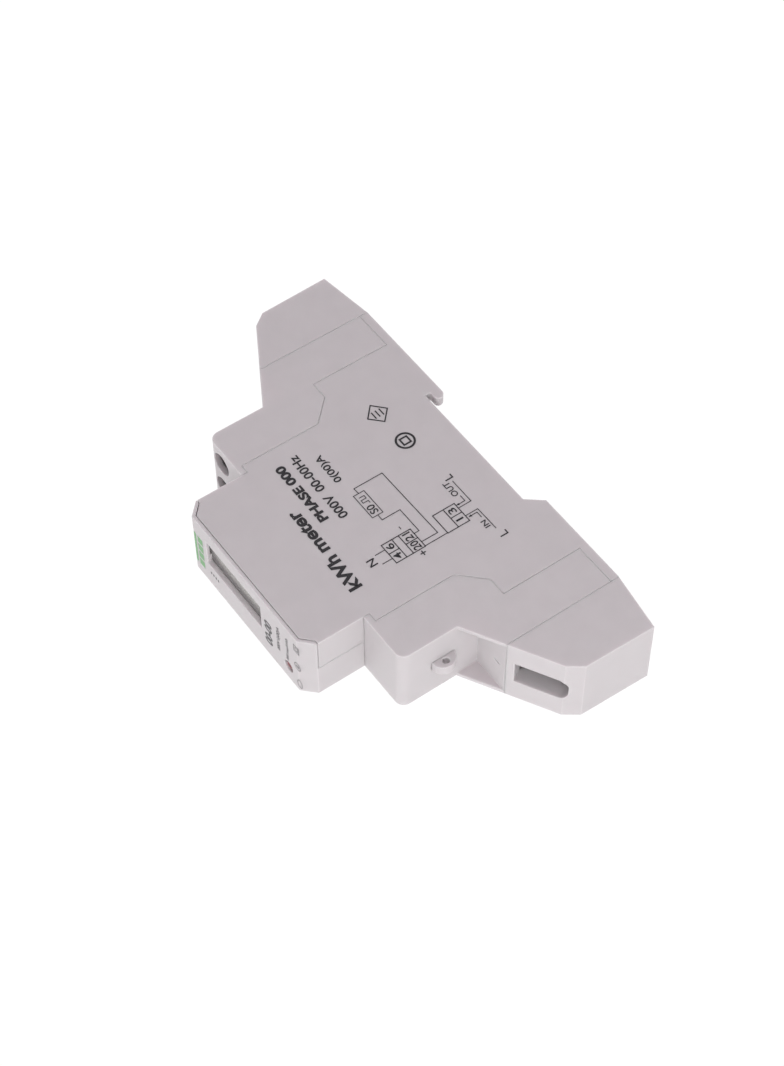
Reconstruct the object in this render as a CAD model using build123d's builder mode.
from build123d import *
from math import cos, radians, sin, tan

# Single-phase kWh meter, one module wide, for a 35 mm top-hat rail.
# X runs across the width (printed side at +X), Y from front (-Y) to back, Z up.
# The origin is the centre of the seat that rests on the rail's front face.
# All sizes are in millimetres.

# ---------------------------------------------------------------- driving sizes
WIDTH = 18.0
HEIGHT = 118.0
BODY_HEIGHT = 90.0
NOSE_HEIGHT = 45.0
SHOULDER_HEIGHT = 71.2
RAIL_WIDTH = 35.0

FRONT_Y = -59.2
SHOULDER_Y = -44.7
POCKET_Y = -25.2
BACK_Y = 3.8
TONGUE_Y = 1.75
SLANT_START_Y = -30.6
SLANT_ANGLE = 30.0

WALL = 1.2
END_WALL = 1.05
SKIN = 0.75
CHEEK = 0.9
GAP = 0.05
SHARP = 0.1

HALF = WIDTH / 2
NOSE_Z = NOSE_HEIGHT / 2
SHOULDER_Z = SHOULDER_HEIGHT / 2
BODY_Z = BODY_HEIGHT / 2
END_Z = HEIGHT / 2
INNER_HALF = HALF - WALL

# Nose corner, shoulder corner and end corner reliefs
NOSE_BEVEL = 2.9
SHOULDER_ROUND = 2.2
END_BEVEL_Z = 2.9
END_BEVEL_Y = 3.3
END_DRAFT = 0.5

# Terminal recess: the plates under the cover's cheeks
RECESS_HALF = HALF - CHEEK - 0.1
RECESS_WALL = 0.7
DECK_Y = -33.2
STEP_Z = 24.7
STEP_Y = -23.5
ELBOW_Y = -18.05
ELBOW_Z = 30.05
GROOVE_Z = 34.55

# Terminals
TERMINAL_X = 4.1
TERMINAL_Z = 30.9
HEAD_R = 2.5
HEAD_TOP_Y = -30.5
HEAD_LENGTH = 2.8
SHANK_R = 1.95
ACCESS_R = 2.85
BAR_Y = -20.2
BAR_THICKNESS = 1.4
BAR_HALF = 2.2
CLAMP_HALF = 3.1
CLAMP_WALL = 0.75
CLAMP_DEPTH = 4.8
CLAMP_TOP = 2.4
CLAMP_BOTTOM = 1.4
WIRE_GAP = 5.0
RUN = 0.05

# Pulse output terminals
PULSE_X = 3.9
PULSE_Z = -26.7
PULSE_HEAD_R = 1.55
PULSE_HEAD_Y = -42.3
PULSE_HEAD_LENGTH = 1.4
PULSE_SHANK_R = 0.95

# Rail latch
LATCH_HALF = 3.0
FLANGE_HALF = 4.2
LATCH_FRONT_Y = 1.2
LATCH_BACK_Y = 3.6
LATCH_TOP_Z = -16.2
LATCH_END_Z = -42.3

# Display and lamp
WINDOW_X = (-2.2, 5.4)
WINDOW_Z = (-6.0, 14.7)
LAMP_X = -4.5
LAMP_Z = -15.8
LAMP_R = 1.5

# Boards
BOARD_X = (-6.2, -4.6)
BOARD_Y = (-50.0, -3.5)
BOARD_HALF_Z = 18.0
DISPLAY_BOARD_Y = (-53.9, -52.7)

ENDS = {"upper": 1, "lower": -1}


# ---------------------------------------------------------------- helpers
def profile(points, low_x, high_x, mode=Mode.ADD, rounds=()):
    """Extrude a closed outline of (depth, height) points between two widths."""
    with BuildSketch(Plane.YZ.offset(low_x)) as outline:
        with BuildLine():
            Polyline(*points, close=True)
        make_face()
        for point, radius in rounds:
            corner = outline.vertices().sort_by_distance((*point, 0))[0]
            fillet(corner, radius)
    extrude(outline.sketch, amount=high_x - low_x, mode=mode)


def block(x, y, z, mode=Mode.ADD):
    """A box between two limits on each axis."""
    with BuildSketch(Plane.XY.offset(z[0])) as base:
        with Locations(((x[0] + x[1]) / 2, (y[0] + y[1]) / 2)):
            Rectangle(x[1] - x[0], y[1] - y[0])
    extrude(base.sketch, amount=z[1] - z[0], mode=mode)


def rod(start, end, radius, mode=Mode.ADD):
    """A round bar, or a round hole, between two points."""
    axis = Vector(*end) - Vector(*start)
    with BuildSketch(Plane(origin=start, z_dir=axis)) as section:
        Circle(radius)
    extrude(section.sketch, amount=axis.length, mode=mode)


def at_end(points, end):
    """Outline points of the upper end, or the same mirrored to the lower end."""
    return [(y, end * z) for y, z in points]


def heights(end, near, far):
    """Two heights of one end, in rising order."""
    return tuple(sorted((end * near, end * far)))


def across(side, outer, inner=0.0):
    """Two widths on one side of the middle plane, in rising order."""
    return tuple(sorted((side * inner, side * outer)))


def slant_y(z):
    """Depth of the slanted end face at a height, for the upper end."""
    return SLANT_START_Y + (z - SHOULDER_Z) * tan(radians(SLANT_ANGLE))


def save(part, name):
    """Label a finished piece and write it to its own file."""
    part.label = name
    export_step(part, f"parts/{name}.step")


# ---------------------------------------------------------------- outlines
HOOK_TOP = RAIL_WIDTH / 2 + 0.25
HOOK_TIP = 15.1
LIP_Y = 1.4
SEAT_LOW = -RAIL_WIDTH / 2
LOWER_CHAMFER_Z = 3.1
HOOK_WIDTH = 2.5
HOOK_ROOT_Z = 30.0
FRONT_SEAM = 0.16

CASE_SIDE = [
    (FRONT_Y, NOSE_Z - NOSE_BEVEL),
    (FRONT_Y + NOSE_BEVEL, NOSE_Z),
    (SHOULDER_Y + 1.45, NOSE_Z),
    (SHOULDER_Y + 1.45, STEP_Z - GAP),
    (STEP_Y, STEP_Z - GAP),
    (ELBOW_Y + GAP, ELBOW_Z),
    (ELBOW_Y + GAP, GROOVE_Z - GAP),
    (TONGUE_Y, GROOVE_Z - GAP),
    (TONGUE_Y, BODY_Z - GAP),
    (BACK_Y, BODY_Z - GAP),
]
HOOK = [(BACK_Y, HOOK_TIP), (LIP_Y, HOOK_TIP), (LIP_Y, HOOK_TOP), (0, HOOK_TOP)]
LOWER_BACK = [(0, SEAT_LOW), (BACK_Y, SEAT_LOW - LOWER_CHAMFER_Z)]
CASE_OUTLINE = CASE_SIDE + HOOK + LOWER_BACK + at_end(CASE_SIDE[::-1], -1)
HOOK_ROUNDS = [((BACK_Y, HOOK_TIP), 1.4), ((LIP_Y, HOOK_TIP), 0.9), ((LIP_Y, HOOK_TOP), 0.6)]

CAVITY_SIDE = [
    (FRONT_Y + WALL, NOSE_Z - NOSE_BEVEL - 0.5),
    (FRONT_Y + NOSE_BEVEL + 0.5, NOSE_Z - WALL),
    (DECK_Y + 1.0, NOSE_Z - WALL),
    (DECK_Y + 1.0, STEP_Z - WALL),
    (STEP_Y + 0.5, STEP_Z - WALL),
    (ELBOW_Y + 1.0, ELBOW_Z - 0.5),
    (ELBOW_Y + 1.0, GROOVE_Z - END_WALL),
    (-WALL, GROOVE_Z - END_WALL),
]
CAVITY = CAVITY_SIDE + at_end(CAVITY_SIDE[::-1], -1)


# ---------------------------------------------------------------- case halves
def case_half(side):
    """Side plate and surrounding walls of one half of the case, up to the middle plane."""
    profile(CASE_OUTLINE, *across(side, HALF), rounds=HOOK_ROUNDS)
    end_wall = (GROOVE_Z - END_WALL, GROOVE_Z - 0.15)
    for end in ENDS.values():
        recess = heights(end, STEP_Z - GAP - SHARP, end_wall[1])
        block(across(side, RECESS_HALF), (DECK_Y, ELBOW_Y), recess)
    profile(CAVITY, *across(side, INNER_HALF), mode=Mode.SUBTRACT)
    for end in ENDS.values():
        inside = heights(end, NOSE_Z - WALL, end_wall[0])
        room = across(side, RECESS_HALF - RECESS_WALL)
        block(room, (DECK_Y + 1.0, ELBOW_Y + 1.0), inside, mode=Mode.SUBTRACT)
        screw_x = side * TERMINAL_X
        screw_z = end * TERMINAL_Z
        rod((screw_x, DECK_Y - 1, screw_z), (screw_x, DECK_Y + 2, screw_z), HEAD_R + 0.15,
            mode=Mode.SUBTRACT)
        entry_y = (BAR_Y + BAR_THICKNESS + 0.15, BAR_Y + BAR_THICKNESS + WIRE_GAP - 0.15)
        entry_x = (screw_x - BAR_HALF - 0.1, screw_x + BAR_HALF + 0.1)
        entry_z = heights(end, end_wall[0] - SHARP, GROOVE_Z + SHARP)
        block(entry_x, entry_y, entry_z, mode=Mode.SUBTRACT)
    # only the side plates reach back over the rail's upper edge
    block(across(side, HALF - HOOK_WIDTH), (0, BACK_Y + SHARP), (HOOK_TIP - 1, HOOK_ROOT_Z),
          mode=Mode.SUBTRACT)
    latch_channel(side)
    pulse_slot(side)


def latch_channel(side):
    """Undercut channel in the back for the sliding rail latch."""
    flange_z = (-GROOVE_Z + 0.3, SEAT_LOW + SHARP)
    neck_z = (-BODY_Z, SEAT_LOW + SHARP)
    block(across(side, FLANGE_HALF + 0.1), (LATCH_FRONT_Y - 0.1, LATCH_FRONT_Y + 1.1), flange_z,
          mode=Mode.SUBTRACT)
    block(across(side, LATCH_HALF + 0.1), (LATCH_FRONT_Y + 1.0, BACK_Y + SHARP), neck_z,
          mode=Mode.SUBTRACT)


def pulse_slot(side):
    """Slot that lets a pulse terminal's pin through the case wall."""
    pin_x = side * PULSE_X
    pin_z = (-STEP_Z - SHARP, -NOSE_Z + WALL + SHARP)
    block((pin_x - 0.7, pin_x + 0.7), (-37.1, -36.2), pin_z, mode=Mode.SUBTRACT)


RIB_HALF = 0.4
LUG_HALF = 1.2
LUG_Y = -34.2
LUG_R = 2.8
LUG_TIP_Z = SHOULDER_Z + LUG_R
LUG_ROOT_Z = 28.8
LUG_HOLE_R = 0.8


def seal_lug(end):
    """Flat lug with a hole for the seal wire, standing out of one end of the case."""
    near_y, far_y = LUG_Y - LUG_R, LUG_Y + LUG_R
    end_face = GROOVE_Z - 0.15
    outline = [
        (near_y, LUG_ROOT_Z),
        (near_y, LUG_TIP_Z),
        (far_y, LUG_TIP_Z),
        (far_y, end_face),
        (DECK_Y, end_face),
        (DECK_Y, LUG_ROOT_Z),
    ]
    tips = [(point, LUG_R - GAP) for point in at_end(outline[1:3], end)]
    profile(at_end(outline, end), -LUG_HALF, LUG_HALF, rounds=tips)
    hole_z = end * (LUG_TIP_Z - LUG_R + 1.2)
    rod((-HALF, LUG_Y, hole_z), (HALF, LUG_Y, hole_z), LUG_HOLE_R, mode=Mode.SUBTRACT)


def front_wrap(low_x, high_x, grow=0.0, mode=Mode.ADD):
    """The front wall and its two bevelled corners between two widths."""
    edge_y = FRONT_Y + NOSE_BEVEL + 0.2 + grow
    upper = [
        (FRONT_Y, NOSE_Z - NOSE_BEVEL),
        (FRONT_Y + NOSE_BEVEL, NOSE_Z),
        (edge_y, NOSE_Z),
        (edge_y, NOSE_Z - SKIN - grow),
        (FRONT_Y + SKIN + grow, NOSE_Z - NOSE_BEVEL - 0.3 - grow),
    ]
    profile(upper + at_end(upper[::-1], -1), low_x, high_x, mode=mode)


with BuildPart() as base_shell:
    case_half(-1)
    front_wrap(-SHARP, HALF)
    for end in ENDS.values():
        seal_lug(end)
        # insulating rib between the two terminals
        block((-RIB_HALF, RIB_HALF), (DECK_Y + 1.0, -WALL), heights(end, STEP_Z, GROOVE_Z - END_WALL))
    # display opening and lamp hole in the front wall
    block(WINDOW_X, (FRONT_Y - 1, FRONT_Y + WALL + SHARP), WINDOW_Z, mode=Mode.SUBTRACT)
    rod((LAMP_X, FRONT_Y - 1, LAMP_Z), (LAMP_X, FRONT_Y + 2, LAMP_Z), LAMP_R + 0.1, mode=Mode.SUBTRACT)
    # posts that carry the main board
    for post_y in (-46.0, -7.0):
        for post_z in (-15.0, 15.0):
            rod((-INNER_HALF - SHARP, post_y, post_z), (BOARD_X[0], post_y, post_z), 1.3)
    # post in the latch channel that the latch spring pushes against
    block((-1.2, 1.2), (LATCH_FRONT_Y - 0.2, 3.2), (-32.4, -31.4))
save(base_shell.part, "base_shell")

with BuildPart() as cover_shell:
    case_half(1)
    front_wrap(-SHARP, HALF + SHARP, grow=FRONT_SEAM, mode=Mode.SUBTRACT)
    block((-SHARP, INNER_HALF), (FRONT_Y - 1, FRONT_Y + WALL + SHARP), (-NOSE_Z, NOSE_Z),
          mode=Mode.SUBTRACT)
    # clearance over the parts of the other half that cross the middle plane
    block((-SHARP, 1.25), (LATCH_FRONT_Y - 0.25, 3.3), (-32.5, -31.3), mode=Mode.SUBTRACT)
save(cover_shell.part, "cover_shell")


# ---------------------------------------------------------------- terminal covers
COVER_INNER = HALF - CHEEK
PLATE = 1.1
SLIT_Z = 42.1


def cover_outline():
    """Outline of a terminal cover at the upper end."""
    return [
        (SHOULDER_Y, NOSE_Z + GAP),
        (SHOULDER_Y, SHOULDER_Z),
        (SLANT_START_Y, SHOULDER_Z),
        (slant_y(BODY_Z - GAP), BODY_Z - GAP),
        (TONGUE_Y - GAP, BODY_Z - GAP),
        (TONGUE_Y - GAP, GROOVE_Z + GAP),
        (ELBOW_Y, GROOVE_Z + GAP),
        (ELBOW_Y, ELBOW_Z + GAP),
        (STEP_Y, STEP_Z + GAP),
        (SHOULDER_Y + 1.4, STEP_Z + GAP),
        (SHOULDER_Y + 1.4, NOSE_Z + GAP),
    ]


def terminal_cover(end, screw_holes):
    """Shoulder block, pocket floor and two cheeks that close the terminals of one end."""
    corner = (SHOULDER_Y, end * SHOULDER_Z)
    profile(at_end(cover_outline(), end), -HALF, HALF, rounds=[(corner, SHOULDER_ROUND)])
    inner_x = (-COVER_INNER, COVER_INNER)
    # hollow behind the shoulder, hollow under the pocket floor, and the pocket itself
    block(inner_x, (SHOULDER_Y + 1.4, HALF), heights(end, NOSE_Z - 1, SHOULDER_Z - PLATE),
          mode=Mode.SUBTRACT)
    block(inner_x, (POCKET_Y + PLATE, HALF), heights(end, SHOULDER_Z - PLATE - SHARP, BODY_Z + 1),
          mode=Mode.SUBTRACT)
    block(inner_x, (SLANT_START_Y - 14, POCKET_Y), heights(end, SHOULDER_Z, BODY_Z + 1),
          mode=Mode.SUBTRACT)
    # slot for the seal lug and a release slit in the pocket floor
    block((-LUG_HALF - 0.1, LUG_HALF + 0.1), (LUG_Y - LUG_R - 0.1, LUG_Y + LUG_R + 0.1),
          heights(end, SHOULDER_Z - 2, SHOULDER_Z + 1), mode=Mode.SUBTRACT)
    block((-0.7, -0.2), (POCKET_Y - 1, POCKET_Y + 2), heights(end, SLIT_Z - 0.9, SLIT_Z + 0.9),
          mode=Mode.SUBTRACT)
    if screw_holes:
        for x in (-TERMINAL_X, TERMINAL_X):
            z = end * TERMINAL_Z
            rod((x, SHOULDER_Y - 1, z), (x, SHOULDER_Y + 2, z), ACCESS_R, mode=Mode.SUBTRACT)


for name, end in ENDS.items():
    with BuildPart() as cover:
        terminal_cover(end, screw_holes=(name == "upper"))
    save(cover.part, f"terminal_cover_{name}")


# ---------------------------------------------------------------- end caps
CAP_SLOT_HALF = 3.2
CAP_SLOT_START = 12.8
CAP_SLOT_LENGTH = 11.8
CHUTE_DEPTH = 4.4
CHUTE_WALL = 0.9


def slant_plane(end, along):
    """Plane on the slanted face of one end, facing out, at a distance along the slope."""
    angle = radians(SLANT_ANGLE)
    origin = (0, SLANT_START_Y + along * sin(angle), end * (SHOULDER_Z + along * cos(angle)))
    normal = (0, -cos(angle), end * sin(angle))
    return Plane(origin=origin, x_dir=(1, 0, 0), z_dir=normal)


def cap_outline():
    """Outline of an end cap at the upper end."""
    bevel_z = END_Z - END_BEVEL_Z
    return [
        (slant_y(BODY_Z), BODY_Z),
        (slant_y(bevel_z), bevel_z),
        (slant_y(bevel_z) + END_BEVEL_Y, END_Z - END_DRAFT),
        (TONGUE_Y, END_Z),
        (BACK_Y - GAP, BODY_Z),
    ]


def end_cap(end):
    """Hollow cap that closes one end, with a chute for the wires in its slanted face."""
    outline = cap_outline()
    profile(at_end(outline, end), -HALF, HALF)
    bevel_z = END_Z - END_BEVEL_Z
    hollow = [
        (slant_y(BODY_Z) + 1.4, BODY_Z - 1),
        (slant_y(bevel_z) + 1.7, bevel_z - 0.4),
        (slant_y(bevel_z) + END_BEVEL_Y + 0.5, END_Z - END_DRAFT - WALL),
        (TONGUE_Y - WALL, END_Z - WALL),
        (BACK_Y - WALL - 0.2, BODY_Z - 1),
    ]
    profile(at_end(hollow, end), -INNER_HALF, INNER_HALF, mode=Mode.SUBTRACT)
    middle = slant_plane(end, CAP_SLOT_START + CAP_SLOT_LENGTH / 2)
    with BuildSketch(middle.offset(-CHUTE_DEPTH)) as chute:
        Rectangle(2 * (CAP_SLOT_HALF + CHUTE_WALL), CAP_SLOT_LENGTH + 2 * CHUTE_WALL)
    extrude(chute.sketch, amount=CHUTE_DEPTH - 0.6)
    with BuildSketch(middle.offset(-CHUTE_DEPTH - 1)) as slot:
        Rectangle(2 * CAP_SLOT_HALF, CAP_SLOT_LENGTH)
        outer_corners = slot.vertices().group_by(Axis.Y)[-1 if end > 0 else 0]
        fillet(outer_corners, 2.4)
    extrude(slot.sketch, amount=CHUTE_DEPTH + 4, mode=Mode.SUBTRACT)
    # trim what the chute leaves outside the cap
    with BuildSketch(Plane.YZ.offset(-HALF)) as keep:
        with BuildLine():
            Polyline(*at_end(outline, end), close=True)
        make_face()
    extrude(keep.sketch, amount=WIDTH, mode=Mode.INTERSECT)
    # tongues that reach inside the terminal cover
    for side in (-1, 1):
        block(across(side, COVER_INNER - GAP, COVER_INNER - 1.0), (-16, -4),
              heights(end, BODY_Z - 2.5, BODY_Z + 2))


for name, end in ENDS.items():
    with BuildPart() as cap:
        end_cap(end)
    save(cap.part, f"end_cap_{name}")


# ---------------------------------------------------------------- rail latch
WINDOW_LOW = -32.5
WINDOW_HIGH = -24.0
SPRING_R = 0.85
SPRING_WIRE = 0.15
SPRING_TURNS = 7

with BuildPart() as rail_latch:
    latch_outline = [
        (LATCH_FRONT_Y, LATCH_TOP_Z - 0.2),
        (LATCH_FRONT_Y + 0.3, LATCH_TOP_Z),
        (LATCH_FRONT_Y + 0.9, LATCH_TOP_Z),
        (LATCH_BACK_Y, LATCH_TOP_Z - 2.2),
        (LATCH_BACK_Y, LATCH_END_Z),
        (LATCH_FRONT_Y + 1.15, LATCH_END_Z),
        (LATCH_FRONT_Y + 1.15, -31.4),
        (LATCH_FRONT_Y, -31.4),
    ]
    profile(latch_outline, -LATCH_HALF, LATCH_HALF)
    block((-FLANGE_HALF, FLANGE_HALF), (LATCH_FRONT_Y, LATCH_FRONT_Y + 0.95), (-31.4, -20.4))
    block((-1.35, 1.35), (0, BACK_Y + 1), (WINDOW_LOW, WINDOW_HIGH), mode=Mode.SUBTRACT)
    # eye for a screwdriver tip
    block((-1.6, 1.6), (0, BACK_Y + 1), (-40.6, -38.6), mode=Mode.SUBTRACT)
save(rail_latch.part, "rail_latch")

with BuildPart() as latch_spring:
    spring_height = WINDOW_HIGH + 31.4 - 2 * SPRING_WIRE - 2 * GAP
    spring_low = (0, 2.25, -31.4 + SPRING_WIRE + GAP)
    with BuildLine() as coil:
        Helix(pitch=spring_height / SPRING_TURNS, height=spring_height, radius=SPRING_R, center=spring_low)
    with BuildSketch(Plane(origin=coil.line @ 0, z_dir=coil.line % 0)):
        Circle(SPRING_WIRE)
    sweep(path=coil.line, is_frenet=True)
save(latch_spring.part, "latch_spring")


# ---------------------------------------------------------------- power terminals
TERMINALS = {
    "line_in": (-TERMINAL_X, 1),
    "line_out": (TERMINAL_X, 1),
    "neutral_in": (-TERMINAL_X, -1),
    "neutral_out": (TERMINAL_X, -1),
}


def screw(x, z, head_y, head_r, head_length, shank_r, tip_y, slot_width, slot_depth):
    """Cheese-head screw pointing back along Y, with a cross recess."""
    rod((x, head_y, z), (x, head_y + head_length, z), head_r)
    rod((x, head_y + head_length - SHARP, z), (x, tip_y, z), shank_r)
    recess_y = (head_y - SHARP, head_y + slot_depth)
    reach = head_r * 0.76
    half = slot_width / 2
    block((x - reach, x + reach), recess_y, (z - half, z + half), mode=Mode.SUBTRACT)
    block((x - half, x + half), recess_y, (z - reach, z + reach), mode=Mode.SUBTRACT)


def clamp(x, z, top_y, bottom_y, half, depth, wall, top, bottom, hole_r):
    """Box clamp: a threaded top, two sides and a bottom that lifts the wire to the bar."""
    depth_z = (z - depth / 2, z + depth / 2)
    block((x - half, x + half), (top_y, bottom_y), depth_z)
    block((x - half + wall, x + half - wall), (top_y + top, bottom_y - bottom),
          (depth_z[0] - SHARP, depth_z[1] + SHARP), mode=Mode.SUBTRACT)
    rod((x, top_y - 1, z), (x, top_y + top + SHARP, z), hole_r, mode=Mode.SUBTRACT)


for name, (x, end) in TERMINALS.items():
    z = end * TERMINAL_Z
    with BuildPart() as terminal_screw:
        screw(x, z, HEAD_TOP_Y, HEAD_R, HEAD_LENGTH, SHANK_R, BAR_Y - RUN, 0.8, 1.5)
    save(terminal_screw.part, f"screw_{name}")
    with BuildPart() as terminal_clamp:
        clamp(x, z, BAR_Y - 0.2 - CLAMP_TOP, BAR_Y + BAR_THICKNESS + WIRE_GAP + CLAMP_BOTTOM,
              CLAMP_HALF, CLAMP_DEPTH, CLAMP_WALL, CLAMP_TOP, CLAMP_BOTTOM, SHANK_R + RUN)
    save(terminal_clamp.part, f"clamp_{name}")

BAR_TIP = TERMINAL_Z + CLAMP_DEPTH / 2 - 0.2
BAR_ROOT = 19.5
BRIDGE_Z = 23.6
BAR_DEPTHS = (BAR_Y, BAR_Y + BAR_THICKNESS)


def contact_bar(x, end):
    """Flat copper bar that runs from inside a clamp into the case."""
    block((x - BAR_HALF, x + BAR_HALF), BAR_DEPTHS, heights(end, BAR_ROOT, BAR_TIP))


for name in ("line_in", "line_out"):
    with BuildPart() as busbar:
        contact_bar(*TERMINALS[name])
    save(busbar.part, f"busbar_{name}")

BRIDGE_HALF = TERMINAL_X - BAR_HALF
with BuildPart() as shunt:
    block((-BRIDGE_HALF, BRIDGE_HALF), BAR_DEPTHS, (BAR_ROOT, BRIDGE_Z))
    block((-0.6, 0.6), (BAR_Y - 1, BAR_Y + 2), (BRIDGE_Z - 1.4, BRIDGE_Z + 1), mode=Mode.SUBTRACT)
save(shunt.part, "shunt_resistor")

with BuildPart() as neutral_busbar:
    contact_bar(*TERMINALS["neutral_in"])
    contact_bar(*TERMINALS["neutral_out"])
    block((-BRIDGE_HALF - SHARP, BRIDGE_HALF + SHARP), BAR_DEPTHS, (-BRIDGE_Z, -BAR_ROOT))
save(neutral_busbar.part, "neutral_busbar")


# ---------------------------------------------------------------- pulse output terminals
PULSE_BLOCK_HALF = 6.6
PULSE_BLOCK_Y = (-42.9, DECK_Y - 0.05)
PULSE_BLOCK_Z = (-28.4, -STEP_Z - GAP)
PULSE_CLAMP = {"half": 1.6, "depth": 2.7, "wall": 0.4, "top": 0.9, "bottom": 0.6}
PULSE_CLAMP_Y = (-38.2, -34.3)
PULSE_BAR_Y = (-36.9, -36.4)
PULSE_TERMINALS = {"pulse_plus": -PULSE_X, "pulse_minus": PULSE_X}

with BuildPart() as pulse_block:
    block((-PULSE_BLOCK_HALF, PULSE_BLOCK_HALF), PULSE_BLOCK_Y, PULSE_BLOCK_Z)
    for x in PULSE_TERMINALS.values():
        block((x - 1.75, x + 1.75), (-40.8, -34.1), (-28.15, -25.2), mode=Mode.SUBTRACT)
        rod((x, -43.5, PULSE_Z), (x, -40.5, PULSE_Z), PULSE_HEAD_R + 0.15, mode=Mode.SUBTRACT)
        block((x - 0.95, x + 0.95), (-36.3, -35.0), (-29, -27.5), mode=Mode.SUBTRACT)
        block((x - 0.55, x + 0.55), (-37.0, -36.3), (-25.5, -24), mode=Mode.SUBTRACT)
    # notch round the root of the seal lug
    block((-LUG_HALF - GAP, LUG_HALF + GAP), (-38, -32), (-29, -28.3), mode=Mode.SUBTRACT)
save(pulse_block.part, "pulse_terminal_block")

for name, x in PULSE_TERMINALS.items():
    with BuildPart() as pulse_screw:
        screw(x, PULSE_Z, PULSE_HEAD_Y, PULSE_HEAD_R, PULSE_HEAD_LENGTH, PULSE_SHANK_R,
              PULSE_BAR_Y[0] - RUN, 0.5, 0.8)
    save(pulse_screw.part, f"screw_{name}")
    with BuildPart() as pulse_clamp:
        clamp(x, PULSE_Z, *PULSE_CLAMP_Y, hole_r=PULSE_SHANK_R + RUN, **PULSE_CLAMP)
    save(pulse_clamp.part, f"clamp_{name}")

with BuildPart() as pulse_pins:
    for x in PULSE_TERMINALS.values():
        block((x - 0.5, x + 0.5), PULSE_BAR_Y, (-28.0, -19.0))
save(pulse_pins.part, "pulse_pins")


# ---------------------------------------------------------------- display
LENS_Y = (FRONT_Y + WALL + 0.05, FRONT_Y + WALL + 0.85)
LCD_X = (-3.3, 6.5)
LCD_Z = (-8.0, 16.5)
LCD_Y = (LENS_Y[1] + 0.05, -55.4)
HOLDER_X = (-4.6, 7.4)
HOLDER_Z = (-9.4, 17.9)

with BuildPart() as display_window:
    block((WINDOW_X[0] - 0.9, WINDOW_X[1] + 0.9), LENS_Y, (WINDOW_Z[0] - 0.9, WINDOW_Z[1] + 0.9))
save(display_window.part, "display_window")

with BuildPart() as lcd_panel:
    block(LCD_X, LCD_Y, LCD_Z)
    # the back glass stops short of the contact ledge of the front glass
    block((LCD_X[0] - 1, LCD_X[0] + 1.3), (LCD_Y[1] - 0.8, LCD_Y[1] + 1), (LCD_Z[0] - 1, LCD_Z[1] + 1),
          mode=Mode.SUBTRACT)
save(lcd_panel.part, "lcd_panel")

with BuildPart() as lcd_holder:
    block(HOLDER_X, (LCD_Y[0], DISPLAY_BOARD_Y[0]), HOLDER_Z)
    block((LCD_X[0] - GAP, LCD_X[1] + GAP), (LCD_Y[0] - 1, -53), (LCD_Z[0] - GAP, LCD_Z[1] + GAP),
          mode=Mode.SUBTRACT)
save(lcd_holder.part, "lcd_holder")

with BuildPart() as zebra_strips:
    for x in (LCD_X[0] + 0.1, LCD_X[1] - 1.3):
        front = LCD_Y[1] - 0.8 if x < 0 else LCD_Y[1]
        block((x, x + 1.2), (front, DISPLAY_BOARD_Y[0]), (LCD_Z[0] + 0.8, LCD_Z[1] - 0.8))
save(zebra_strips.part, "zebra_strips")

with BuildPart() as display_board:
    block((-7.3, 7.5), DISPLAY_BOARD_Y, (-20.0, 20.0))
    for z in (-18.5, 18.9):
        rod((0, -55, z), (0, -52, z), 0.8, mode=Mode.SUBTRACT)
save(display_board.part, "display_board")

with BuildPart() as pulse_led:
    rod((LAMP_X, -55.0, LAMP_Z), (LAMP_X, FRONT_Y + 1.5, LAMP_Z), LAMP_R)
    with BuildSketch(Plane.XY.offset(LAMP_Z)) as dome:
        with BuildLine():
            Line((LAMP_X, FRONT_Y + 1.5), (LAMP_X + LAMP_R, FRONT_Y + 1.5))
            ThreePointArc((LAMP_X + LAMP_R, FRONT_Y + 1.5),
                          (LAMP_X + LAMP_R * sin(radians(45)), FRONT_Y + 1.5 - LAMP_R * cos(radians(45))),
                          (LAMP_X, FRONT_Y + 1.5 - LAMP_R))
            Line((LAMP_X, FRONT_Y + 1.5 - LAMP_R), (LAMP_X, FRONT_Y + 1.5))
        make_face()
    revolve(dome.sketch, axis=Axis((LAMP_X, 0, LAMP_Z), (0, 1, 0)))
    rod((LAMP_X, -55.0, LAMP_Z), (LAMP_X, DISPLAY_BOARD_Y[0], LAMP_Z), LAMP_R + 0.3)
save(pulse_led.part, "pulse_led")


# ---------------------------------------------------------------- electronics
BOARD_FACE = BOARD_X[1]
PINS = 0.45

with BuildPart() as main_board:
    block(BOARD_X, BOARD_Y, (-BOARD_HALF_Z, BOARD_HALF_Z))
save(main_board.part, "main_board")

with BuildPart() as board_header:
    block((BOARD_FACE, BOARD_FACE + 2.4), (-51.6, -49.2), (-7.6, 7.6))
    for step in range(6):
        z = -6.35 + 2.54 * step
        block((BOARD_FACE + 0.95, BOARD_FACE + 1.45), (DISPLAY_BOARD_Y[1], -51.5), (z - 0.25, z + 0.25))
save(board_header.part, "board_header")

with BuildPart() as microcontroller:
    block((-3.0, 4.0), (DISPLAY_BOARD_Y[1] + 0.15, -51.2), (9.0, 16.0))
    for side in (-1, 1):
        for step in range(8):
            z = 9.7 + 0.8 * step
            x = 0.5 + side * 4.0
            block((x - 0.6, x + 0.6), (DISPLAY_BOARD_Y[1], -52.35), (z - 0.2, z + 0.2))
save(microcontroller.part, "microcontroller")

with BuildPart() as metering_chip:
    block((BOARD_FACE + 0.15, BOARD_FACE + 1.7), (-37.0, -31.8), (-3.0, 5.0))
    for side in (-1, 1):
        for step in range(8):
            z = -2.1 + 0.9 * step
            y = -34.4 + side * 2.9
            block((BOARD_FACE, BOARD_FACE + 0.4), (y - 0.6, y + 0.6), (z - 0.2, z + 0.2))
save(metering_chip.part, "metering_chip")

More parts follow.
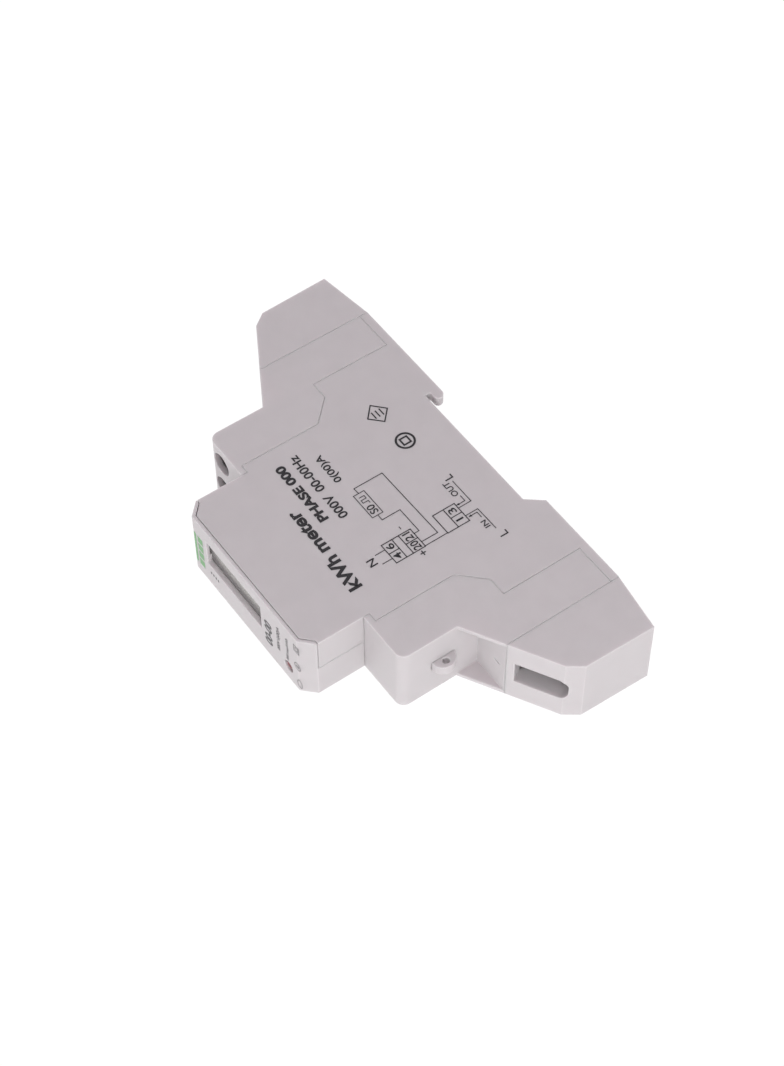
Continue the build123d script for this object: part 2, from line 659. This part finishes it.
with BuildPart() as optocoupler:
    block((BOARD_FACE + 0.4, BOARD_FACE + 3.6), (-45.5, -39.2), (-16.0, -11.5))
    for y in (-45.9, -38.8):
        for z in (-15.0, -12.5):
            block((BOARD_FACE, BOARD_FACE + 2.0), (y - 0.4, y + 0.4), (z - PINS / 2, z + PINS / 2))
save(optocoupler.part, "optocoupler")

with BuildPart() as crystal:
    with BuildSketch(Plane.YZ.offset(BOARD_FACE)) as can:
        with Locations((-43.0, -4.0)):
            SlotOverall(10.5, 3.8, rotation=90)
    extrude(can.sketch, amount=3.4)
save(crystal.part, "crystal")

with BuildPart() as film_capacitor:
    block((BOARD_FACE, BOARD_FACE + 8.2), (-15.0, -5.0), (-9.0, 9.0))
    fillet(film_capacitor.edges().filter_by(Axis.X), 0.8)
save(film_capacitor.part, "film_capacitor")

with BuildPart() as electrolytic_capacitor:
    rod((-1.2, -27.0, -14.0), (-1.2, -27.0, -3.5), 3.15)
    rod((-1.2, -27.0, -14.9), (-1.2, -27.0, -14.0), 2.8)
save(electrolytic_capacitor.part, "electrolytic_capacitor")

with BuildPart() as varistor:
    rod((0.2, -24.0, 10.5), (0.2, -24.0, 13.9), 3.8)
    for y in (-26.0, -22.0):
        rod((BOARD_FACE, y, 12.2), (-1.5, y, 12.2), 0.3)
save(varistor.part, "varistor")

with BuildPart() as fusible_resistor:
    rod((-2.6, -19.0, -8.0), (-2.6, -19.0, 1.0), 1.5)
    for z in (-9.2, 2.2):
        rod((BOARD_FACE, -19.0, z), (-2.4, -19.0, z), 0.3)
    rod((-2.6, -19.0, -9.4), (-2.6, -19.0, 2.4), 0.3)
save(fusible_resistor.part, "fusible_resistor")

with BuildPart() as diodes:
    for z in (-7.0, -3.0, 1.0, 5.0):
        rod((-3.3, -33.5 + 3.0, z + 8.0), (-3.3, -28.5, z + 8.0), 0.5)
save(diodes.part, "diodes")

SENSE_R = 0.4
with BuildPart() as sense_leads:
    for x, z in ((-1.4, 14.9), (1.4, 16.3)):
        rod((x, BAR_DEPTHS[1], BAR_ROOT + 1.0), (x, BAR_DEPTHS[1] + 2.0, BAR_ROOT + 1.0), SENSE_R)
        rod((x, BAR_DEPTHS[1] + 1.6, BAR_ROOT + 1.4), (x, BAR_DEPTHS[1] + 1.6, z), SENSE_R)
        rod((x + SENSE_R, BAR_DEPTHS[1] + 1.6, z), (BOARD_FACE, BAR_DEPTHS[1] + 1.6, z), SENSE_R)
save(sense_leads.part, "sense_leads")
